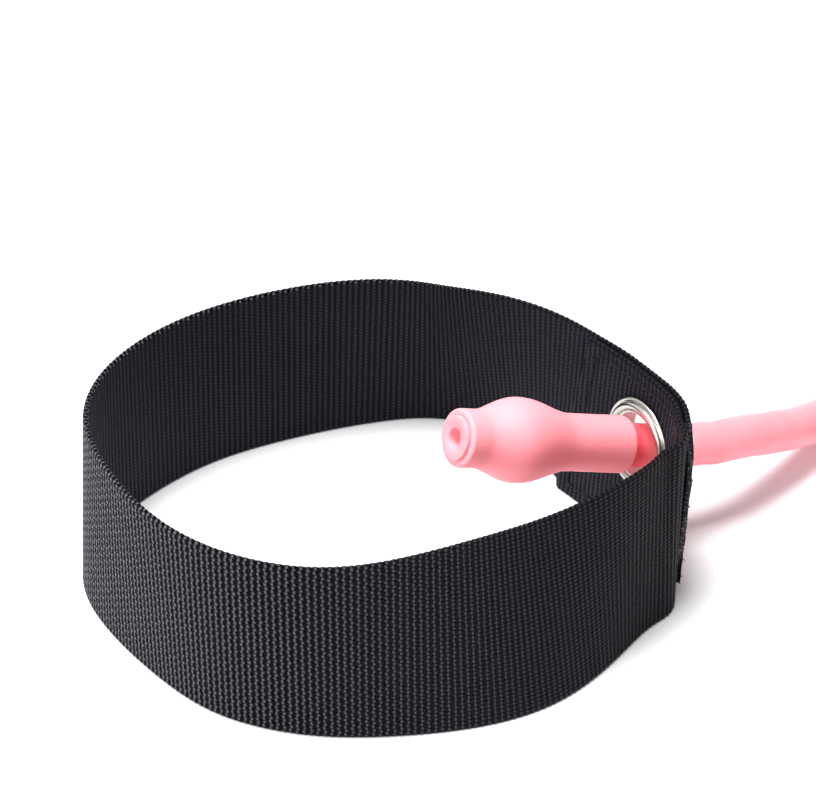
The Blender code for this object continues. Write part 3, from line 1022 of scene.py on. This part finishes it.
    def stitches(self) -> bpy.types.Object:
        """Thread on both faces of the lap, each stitch a short sunk loop.

        Returns:
            The stitching.
        """
        bm = bmesh.new()
        half = self.thick / 2
        for run_a, up_a, run_b, up_b in self.stitch_lines():
            for outer in (True, False):
                a, b = (run_a, run_b) if outer else (self.inner_run(run_a), self.inner_run(run_b))
                count = max(2, round(math.hypot(b - a, up_b - up_a) / self.stitch_pitch))
                for k in range(count):
                    shares = [(k + t) / count for t in self.stitch_span]
                    run = np.array([a + (b - a) * s for s in shares])
                    up = np.array([up_a + (up_b - up_a) * s for s in shares])
                    out = np.full(2, (half + 0.02) * (1 if outer else -1))
                    start, end = (Vector(p) for p in self.places(run, out, up))
                    self.one_stitch(bm, start, end)
        return finish_mesh(bm, "lap_stitching", [BLACK_THREAD.material()])

    def one_stitch(self, bm: bmesh.types.BMesh, start: Vector, end: Vector) -> None:
        """Add one stitch between two points.

        Args:
            bm: mesh it goes into.
            start: first point.
            end: last point.
        """
        length = (end - start).length
        shape = Matrix.Diagonal((length / 2, self.thread / 2, self.thread / 2, 1.0))
        place = axis_frame((start + end) / 2, end - start) @ shape
        bmesh.ops.create_uvsphere(bm, u_segments=8, v_segments=6, radius=1.0, matrix=place)

    def loose_yarn(self, at_end: bool, count: int, seed: int) -> bpy.types.Object:
        """Short yarn ends that stand out of a cut end.

        Args:
            at_end: whether it is the strip's outer end, and not the flap's.
            count: how many.
            seed: start of the random choices.

        Returns:
            The yarn ends.
        """
        luck = random.Random(seed)
        bm = bmesh.new()
        edge_run = self.length if at_end else 0.0
        ahead = 1.0 if at_end else -1.0
        table = self.END_CUT if at_end else self.FLAP_CUT
        for _ in range(count):
            up = luck.uniform(0.3, self.width - 0.3)
            out = luck.uniform(-0.6, 0.6)
            long = luck.uniform(0.3, 1.3)
            cut = float(np.interp(up, *zip(*table)))
            runs = np.array([edge_run - ahead * (cut + back) for back in (self.yarn_root, self.yarn_inside)])
            root, inside = (Vector(p) for p in self.places(runs, np.array([out, out]), np.array([up, up])))
            astray = Vector((luck.gauss(0, 0.25), luck.gauss(0, 0.25), luck.gauss(0, 0.4)))
            way = (root - inside).normalized() + astray
            tip = root + way.normalized() * (long + 0.2)
            tip.z = max(tip.z, 0.1)
            place = axis_frame((root + tip) / 2, tip - root) @ Matrix.Rotation(math.pi / 2, 4, "Y")
            thick, thin = self.yarn_radii
            made = bmesh.ops.create_cone(bm, segments=5, radius1=thick, radius2=thin,
                                         depth=(tip - root).length, cap_ends=True, matrix=place)
            for vert in made["verts"]:
                vert.co.z = max(vert.co.z, 0.02)
        name = "loose_yarn_outer_end" if at_end else "loose_yarn_flap_end"
        return finish_mesh(bm, name, [CUT_YARN.material()])

    def dress(self) -> None:
        """Build the strap with its trimmings and fix them to its body."""
        strap = self.build()
        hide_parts("webbing_band")
        pieces = [strap, self.stitches(), self.loose_yarn(False, 46, 5), self.loose_yarn(True, 60, 11)]
        for piece in pieces:
            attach(piece, Body.STRAP.value)


@dataclass
class Eyelet:
    """Two-part eyelet: a flange with a barrel from inside and a washer that the barrel is rolled over."""

    strap: WovenStrap
    throat: float = 7.1
    ring: float = 6.6
    barrel: float = 7.5
    rim: float = 9.7
    clearance: float = 0.3
    seat_gap: float = 0.45
    washer: float = 0.5
    steps: int = 128

    def seat(self) -> float:
        """Place along the axis where the flange sits on the inner layer."""
        return -(1.5 * self.strap.thick + self.strap.lap_gap) - self.seat_gap

    def flange_outline(self) -> Outline:
        """Section of the flange and barrel, along the axis and out from it."""
        seat = self.seat()
        roll_from = self.strap.thick / 2 + 2 * self.clearance + self.washer
        outline = [(seat + 0.15, self.barrel), (seat + 0.15, self.rim - 0.35)]
        outline += arc((seat - 0.22, self.rim - 0.37), 0.37, 0, 180, 9)[1:]
        outline += [(seat - 0.22, self.rim - 0.76), (seat - 0.22, self.rim - 0.94)]
        outline += arc((seat - 0.56, self.rim - 1.60), 0.74, 115, 245, 14)
        outline += [(seat - 0.66, self.ring + 0.84), (seat - 0.66, self.ring + 0.78)]
        outline += arc((seat - 0.36, self.ring + 0.44), 0.44, 135, 260, 10)
        outline += [(seat + 1.4, self.ring)]
        outline += arc((roll_from - 0.45, self.throat + 1.25), 1.25, 270, 350, 10)
        outline += arc((roll_from + 0.42, self.throat + 1.75), 0.42, 0, 180, 8)[1:]
        outline += [(roll_from, self.throat + 1.3), (roll_from - 0.35, self.barrel + 0.05)]
        return outline

    def washer_outline(self) -> Outline:
        """Section of the washer."""
        face = self.strap.thick / 2 + self.clearance
        top = face + self.washer
        outline = [(face, self.barrel + 0.35), (top, self.barrel + 0.35), (top, self.rim - 0.6)]
        return outline + arc((face + 0.15, self.rim - 0.35), 0.35, 0, 90, 6) + [(face, self.rim)]

    def dress(self) -> None:
        """Build both parts and fix them to the strap."""
        centre, axis = self.strap.eyelet_frame()
        place = axis_frame(centre, axis)
        back = place.inverted()
        materials = [NICKEL.material(), BARREL_WALL_PAINTED_LIGHT.material()]
        for name, node, outline in (
            ("eyelet_flange_plated", "eyelet_flange", self.flange_outline()),
            ("eyelet_washer_plated", "eyelet_washer", self.washer_outline()),
        ):
            bm = spun(outline, self.steps, place)
            # Painted light: the faces of the throat's wall take the pale matt copy of the plating
            for face in bm.faces:
                local = back @ face.calc_center_median()
                if math.hypot(local.y, local.z) < self.throat + 0.02 and local.x > self.seat():
                    face.material_index = 1
            piece = finish_mesh(bm, name, materials, sharp=60.0)
            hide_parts(node)
            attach(piece, Body.STRAP.value)


def bell(along: float, start: float, middle: float, end: float) -> float:
    """Smooth rise from 0 at start to 1 at the middle and back to 0 at the end.

    Args:
        along: place.
        start: where the rise starts.
        middle: where it is full.
        end: where it ends.

    Returns:
        The height at the place.
    """
    reach = middle - start if along < middle else end - middle
    share = min(1.0, abs(along - middle) / reach)
    return (0.5 + 0.5 * math.cos(math.pi * share)) ** 0.8


@dataclass
class Stopper:
    """Tube end with a ball in it and the short sleeve over it, along its axis from the open face."""

    face: Vector
    direction: Vector
    tube_length: float
    prefix: str
    tube: float = 4.3
    bore: float = 1.9
    sleeve: float = 5.6
    sleeve_in: float = 4.6
    sleeve_from: float = 0.7
    sleeve_to: float = 39.1
    bulb: float = 8.2
    bulb_at: float = 14.0
    bulb_from: float = 4.6
    bulb_to: float = 25.6
    wall: float = 1.0
    ball: float = 4.6
    clearance: float = 0.3
    sleeve_inset: float = 0.4
    tube_inset: float = 0.7
    steps: int = 96

    # Each crease: its place along the axis and round it, its reach in degrees, its width and its depth
    CREASES: ClassVar[list[tuple[float, ...]]] = [
        (29.5, -34.0, 33.6, 0.8, 0.22), (25.0, -44.0, 12.8, 0.6, 0.26), (34.0, -24.0, 27.2, 0.7, 0.16)]

    def swollen(self, stations: np.ndarray, radius: float, top: float, inset: float = 0.0) -> Outline:
        """Points of a wall that swells over the ball.

        Args:
            stations: places along the axis.
            radius: the wall's radius away from the ball.
            top: its radius over the ball.
            inset: how much shorter than the bulb the swelling is at each end.

        Returns:
            One point for each station.
        """
        ends = (self.bulb_from + inset, self.bulb_at, self.bulb_to - inset)
        return [(a, radius + (top - radius) * bell(a, *ends)) for a in stations]

    def sleeve_outline(self) -> Outline:
        """Section of the sleeve: a chamfered rim, a neck, the bulb over the ball and the straight rest."""
        stations = np.linspace(self.bulb_from, self.bulb_to, 44)
        snug = self.tube + 0.03
        outline = [(self.sleeve_from + 0.12, snug), (self.sleeve_from, snug + 0.15)]
        outline += arc((self.sleeve_from + 0.6, self.sleeve - 0.6), 0.6, 180, 90, 7)
        outline += self.swollen(stations, self.sleeve, self.bulb)
        outline += [(a, self.sleeve) for a in np.linspace(self.bulb_to + 1.0, self.sleeve_to - 0.35, 12)]
        outline += arc((self.sleeve_to - 0.35, self.sleeve - 0.35), 0.35, 90, 0, 5)[1:]
        outline += [(self.sleeve_to, snug + 0.1), (self.sleeve_to - 0.1, snug)]
        lining = self.swollen(stations[::3][::-1], self.sleeve_in, self.bulb - self.wall, self.sleeve_inset)
        return outline + lining

    def tube_outline(self) -> Outline:
        """Section of the tube's own end, swollen over the ball, with its bore."""
        stations = np.linspace(self.bulb_from, self.bulb_to, 24)
        hollow = self.ball + self.clearance
        reach = math.sqrt(hollow ** 2 - self.bore ** 2)
        outline = [(0.0, self.bore + 0.12), (0.0, self.tube - 0.28)]
        outline += arc((0.28, self.tube - 0.28), 0.28, 180, 90, 5)[1:]
        outline += self.swollen(stations, self.tube, self.bulb - self.wall - self.clearance, self.tube_inset)
        outline += [(self.tube_length, self.tube), (self.tube_length, self.bore)]
        for k in range(13):
            offset = reach * math.cos(math.pi * k / 12)
            outline.append((self.bulb_at + offset, math.sqrt(hollow ** 2 - offset ** 2)))
        return outline + [(0.12, self.bore)]

    def crease(self, bm: bmesh.types.BMesh, place: Matrix) -> None:
        """Sink the shallow creases that the stretched sleeve has behind its bulb.

        Args:
            bm: the sleeve's mesh.
            place: matrix of its axis.
        """
        back = place.inverted()
        slope, unevenness = 0.055, 0.035
        for vert in bm.verts:
            local = back @ vert.co
            radius = math.hypot(local.y, local.z)
            if radius < self.sleeve - 0.2:
                continue
            turn = math.degrees(math.atan2(local.z, -local.y))
            depth = 0.0
            for along, angle, reach, width, sink in self.CREASES:
                off = (local.x - along - slope * (turn - angle)) / width
                depth += sink * math.exp(-off * off) * math.exp(-((turn - angle) / reach) ** 2)
            uneven = unevenness * noise.noise(Vector((0.35 * local.x, 0.3 * local.y, 0.3 * local.z)))
            scale = (radius - depth + uneven) / radius
            vert.co = place @ Vector((local.x, local.y * scale, local.z * scale))

    def build(self) -> list[bpy.types.Object]:
        """Make the sleeve, the tube's end and the ball in it.

        Returns:
            The three pieces.
        """
        place = axis_frame(self.face, self.direction)
        sleeve = spun(self.sleeve_outline(), self.steps, place)
        self.crease(sleeve, place)
        ball = bmesh.new()
        inside = place @ Matrix.Translation((self.bulb_at, 0.0, 0.0))
        bmesh.ops.create_uvsphere(ball, u_segments=32, v_segments=16, radius=self.ball, matrix=inside)
        tube = spun(self.tube_outline(), self.steps, place)
        tube_finish = THROAT_SHADED_TUBE_LATEX if self.prefix == "stopper" else TUBE_LATEX
        pieces = []
        for node, made_of, slot, bm, finish in (
            ("_sleeve", "_latex", "pink_latex_sleeve", sleeve, SLEEVE_LATEX),
            ("_tube", "_latex", "pink_latex_tube", tube, tube_finish),
            ("_ball", "_moulded", "white_ball", ball, WHITE_BALL),
        ):
            piece = finish_mesh(bm, self.prefix + node + made_of, [finish.material()])
            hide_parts(self.prefix + node)
            pieces.append(piece)
        return pieces


def heading(degrees: float) -> np.ndarray:
    """Level unit vector, from +X towards +Y."""
    return np.array([math.cos(math.radians(degrees)), math.sin(math.radians(degrees)), 0.0])


@dataclass
class ResistanceTube:
    """The latex tube from the eyelet to the floor and its coil, with a second stopper on its far end."""

    strap: WovenStrap
    radius: float = 4.3
    turn: float = 28.0
    dip: float = 19.5
    sag: float = 0.5
    face_to_eyelet: float = 45.4
    eyelet_to_joint: float = 7.0
    straight_at: tuple[float, ...] = (11.0, 14.0, 17.0)
    clearance: float = 0.3
    coil_start: tuple[float, float] = (109.0, 70.6)
    coil_heading: float = 60.0
    coil_radius: float = 50.0
    coil_pitch: float = 9.8
    coil_lift: float = 0.9
    curl_radius: float = 24.0
    curl_angle: float = 110.0
    curl_steps: int = 12
    bulb: float = 8.2
    points_a_turn: int = 24
    lift: float = 1.2
    lift_from: float = 57.3
    lift_at: float = 66.0
    lift_to: float = 78.0
    lift_side: float = 40.0
    smooth_steps: int = 4
    far_spare: float = 2.0
    tie_thick: float = 0.6
    tie_wide: float = 6.0
    tie_slack: float = 0.15
    tie_edge: float = 0.15
    blend_from: float = 57.5
    blend_to: float = 97.0

    # Free route from the straight piece to the floor, as in the part's source
    ROUTE: ClassVar[list[Point]] = [
        (70.3, 19.5, 15.9), (72.9, 22.0, 15.1), (75.5, 24.5, 14.1), (77.9, 27.0, 13.0),
        (80.3, 29.5, 11.8), (82.7, 32.1, 10.5), (85.0, 34.7, 9.3), (87.3, 37.4, 8.1),
        (89.5, 40.2, 7.1), (91.7, 43.0, 6.3), (93.9, 45.9, 5.8), (96.0, 48.9, 5.5),
    ]

    def axis(self) -> tuple[Vector, Vector]:
        """Where the tube's axis crosses the lap and its direction out of the loop."""
        centre, out = self.strap.eyelet_frame()
        turn, dip = math.radians(self.turn), math.radians(self.dip)
        way = Vector((math.cos(dip) * math.cos(turn), math.cos(dip) * math.sin(turn), -math.sin(dip)))
        lowered = Vector((0.0, 0.0, self.sag))
        return centre - (self.strap.thick + self.strap.lap_gap) / 2 * out - lowered, way

    def coil_from(self) -> np.ndarray:
        """Point of the centre line where the coil starts."""
        return np.array([*self.coil_start, self.radius + self.coil_lift])

    def coil(self) -> tuple[np.ndarray, np.ndarray]:
        """Centre line of the coil and the direction in which it ends."""
        start = self.coil_from()
        centre = start + self.coil_radius * heading(self.coil_heading - 90.0)
        points = []
        for k in range(self.points_a_turn + 1):
            turn = k / self.points_a_turn
            radius = self.coil_radius - self.coil_pitch * turn
            point = centre + radius * heading(self.coil_heading + 90.0 - 360.0 * turn)
            point[2] -= self.coil_lift * (0.5 - 0.5 * math.cos(2.0 * math.pi * turn))
            points.append(point)
        way = self.coil_heading
        curl_centre = points[-1] + self.curl_radius * heading(way - 90.0)
        far_height = self.bulb + 0.05
        for k in range(1, self.curl_steps + 1):
            share = k / self.curl_steps
            point = curl_centre + self.curl_radius * heading(way + 90.0 - self.curl_angle * share)
            rise = 0.5 - 0.5 * math.cos(math.pi * share)
            point[2] = start[2] + (far_height - start[2]) * rise
            points.append(point)
        out = heading(way - self.curl_angle)
        points += [points[-1] + self.radius * out, points[-1] + 2 * self.radius * out]
        return np.array(points), out

    def route(self) -> np.ndarray:
        """Centre line of the whole tube, from its joint behind the eyelet to the far stopper."""
        centre, way = self.axis()
        straight = [np.array(centre + way * d) for d in (self.eyelet_to_joint, *self.straight_at)]
        lead = 2 * self.radius
        landing = [self.coil_from() - d * heading(self.coil_heading) for d in (2 * lead, lead, lead / 2)]
        return np.vstack([straight, [np.array(p) for p in self.ROUTE], landing, self.coil()[0]])

    def smooth(self, points: np.ndarray) -> np.ndarray:
        """Curve through the points.

        Args:
            points: the route.

        Returns:
            The finer route.
        """
        ends = np.vstack([2 * points[0] - points[1], points, 2 * points[-1] - points[-2]])
        curve = []
        for before, here, after, next_one in zip(ends, ends[1:], ends[2:], ends[3:]):
            for t in np.linspace(0.0, 1.0, self.smooth_steps, endpoint=False):
                bend = (2 * before - 5 * here + 4 * after - next_one) * t * t
                twist = (3 * here - before - 3 * after + next_one) * t ** 3
                curve.append(here + 0.5 * ((after - before) * t + bend + twist))
        curve.append(points[-1])
        return np.array(curve)

    def sweep(self, path: np.ndarray, name: str) -> bpy.types.Object:
        """Round tube along a path, made of a curve and turned into a mesh.

        Args:
            path: centre line in millimetres.
            name: the piece's name.

        Returns:
            The tube.
        """
        curve = bpy.data.curves.new(name + "_line", "CURVE")
        curve.dimensions = "3D"
        curve.bevel_depth = self.radius * MM
        curve.bevel_resolution = 8
        curve.use_fill_caps = True
        spline = curve.splines.new("POLY")
        spline.points.add(len(path) - 1)
        for point, place in zip(spline.points, path):
            point.co = (*(Vector(place) * MM), 1.0)
        guide = linked(name + "_line", curve)
        bpy.context.view_layer.update()
        drawn = guide.evaluated_get(bpy.context.evaluated_depsgraph_get())
        data = bpy.data.meshes.new_from_object(drawn)
        bpy.data.objects.remove(guide)
        data.name = name
        bm = bmesh.new()
        bm.from_mesh(data)
        bmesh.ops.remove_doubles(bm, verts=bm.verts, dist=1e-6)
        bmesh.ops.scale(bm, vec=(1 / MM, 1 / MM, 1 / MM), verts=bm.verts)
        return finish_mesh(bm, name, [TUBE_LATEX.material()])

    def tie(self) -> bpy.types.Object:
        """Soft band round the coil's two strands, where they lie side by side."""
        side = Vector(heading(self.coil_heading - 90.0))
        way = Vector(heading(self.coil_heading))
        half, wide, inner = self.coil_pitch / 2, self.tie_wide, self.radius + self.tie_slack
        middle = Vector(self.coil_from()) + side * half
        outline = arc((half, 0.0), inner, -90, 90, 13) + arc((-half, 0.0), inner, 90, 270, 13)
        bm = bmesh.new()
        rim = [bm.verts.new(middle + side * a + Vector((0, 0, b)) - way * wide / 2) for a, b in outline]
        bm.faces.new(rim)
        ring = bmesh.ops.extrude_face_region(bm, geom=list(bm.faces))
        moved = [item for item in ring["geom"] if isinstance(item, bmesh.types.BMVert)]
        bmesh.ops.translate(bm, vec=way * wide, verts=moved)
        caps = [face for face in bm.faces if len(face.verts) > 4]
        bmesh.ops.delete(bm, geom=caps, context="FACES_ONLY")
        bmesh.ops.recalc_face_normals(bm, faces=bm.faces)
        bmesh.ops.solidify(bm, geom=list(bm.faces), thickness=-self.tie_thick)
        edges = [edge for edge in bm.edges if edge.calc_face_angle(0.0) > math.radians(60)]
        bmesh.ops.bevel(bm, geom=edges, offset=self.tie_edge, segments=2, affect="EDGES", profile=0.5,
                        material=-1)
        return finish_mesh(bm, "coil_tie", [TIE_RUBBER.material()])

    def dress(self) -> None:
        centre, way = self.axis()
        near_length = self.face_to_eyelet + self.eyelet_to_joint
        near = Stopper(centre - way * self.face_to_eyelet, way, near_length, "stopper")
        for piece in near.build():
            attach(piece, Body.STOPPER.value)
        line, out = self.route(), self.coil()[1]
        path = self.smooth(line)
        for point in path:
            if self.lift_from < point[0] < self.lift_to and point[1] < self.lift_side:
                point[2] += self.lift * bell(point[0], self.lift_from, self.lift_at, self.lift_to)
        cord = self.sweep(path, "resistance_tube_latex")
        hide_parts("tube_free", "tube_coil")
        far_length = near.sleeve_to + self.far_spare
        far_face = Vector(line[-1] + (self.clearance + far_length) * out)
        far = Stopper(far_face, Vector(-out), far_length + self.clearance, "far")
        with_it = far.build() + [self.tie()]
        for piece in [cord] + with_it:
            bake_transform(piece)


@dataclass
class Studio:
    """Camera, pale floor and soft light."""

    target: Point = (5.0, 30.0, 19.0)
    distance: float = 580.0
    elevation: float = 33.0
    focal_px: float = 2871.0
    image_width: int = 816
    floor_size: float = 6000.0
    floor_drop: float = 0.02
    lamp_aim: Point = (0.0, 0.0, 20.0)
    fill_light: float = 0.38

    def camera(self) -> None:
        """Place the camera at the photograph's viewing angle."""
        rise = math.radians(self.elevation)
        back = Vector((0.0, -math.cos(rise), math.sin(rise)))
        data = bpy.data.cameras.new("photo_camera")
        data.sensor_width = 36.0
        data.lens = self.focal_px / self.image_width * data.sensor_width
        data.clip_start, data.clip_end = 0.01, 20.0
        place = Vector(self.target) + back * self.distance
        bpy.context.scene.camera = stand("photo_camera", data, place, -back)

    def floor(self) -> None:
        """Lay the floor."""
        bm = bmesh.new()
        bmesh.ops.create_grid(bm, x_segments=2, y_segments=2, size=self.floor_size / 2)
        floor = finish_mesh(bm, "studio_floor", [StudioFinish().material()])
        floor.location.z = -self.floor_drop * MM

    def lamp(self, name: str, place: Point, size: float, power: float) -> None:
        """Add a soft square lamp.

        Args:
            name: the lamp's name.
            place: where it stands, in millimetres.
            size: its side, in millimetres.
            power: its power in watts.
        """
        data = bpy.data.lights.new(name, "AREA")
        data.shape = "SQUARE"
        data.size = size * MM
        data.energy = power
        stand(name, data, Vector(place), Vector(self.lamp_aim) - Vector(place))

    def world(self) -> None:
        """Even white surroundings, seen by the camera and in reflections at full white."""
        world = bpy.data.worlds.new("studio_white")
        bpy.context.scene.world = world
        world.use_nodes = True
        n = ShaderNodes(world.node_tree)
        n.fill(world.node_tree.nodes["Background"], Color=WHITE,
               Strength=n.spread(n.seen(), 0.0, 1.0, self.fill_light, 1.0))

    def dress(self) -> None:
        """Set up the whole stage."""
        self.camera()
        self.floor()
        self.world()
        self.lamp("key_above", (-110.0, -20.0, 900.0), 360.0, 11.7)
        self.lamp("side_left", (-720.0, -520.0, 340.0), 240.0, 6.6)
        bpy.context.scene.view_settings.view_transform = "Standard"


def main() -> None:
    """Dress the whole model."""
    logging.basicConfig(level=logging.INFO, format="%(message)s")
    Studio().dress()
    strap = WovenStrap()
    ResistanceTube(strap).dress()
    strap.dress()
    Eyelet(strap).dress()


if __name__ == "__main__":
    main()
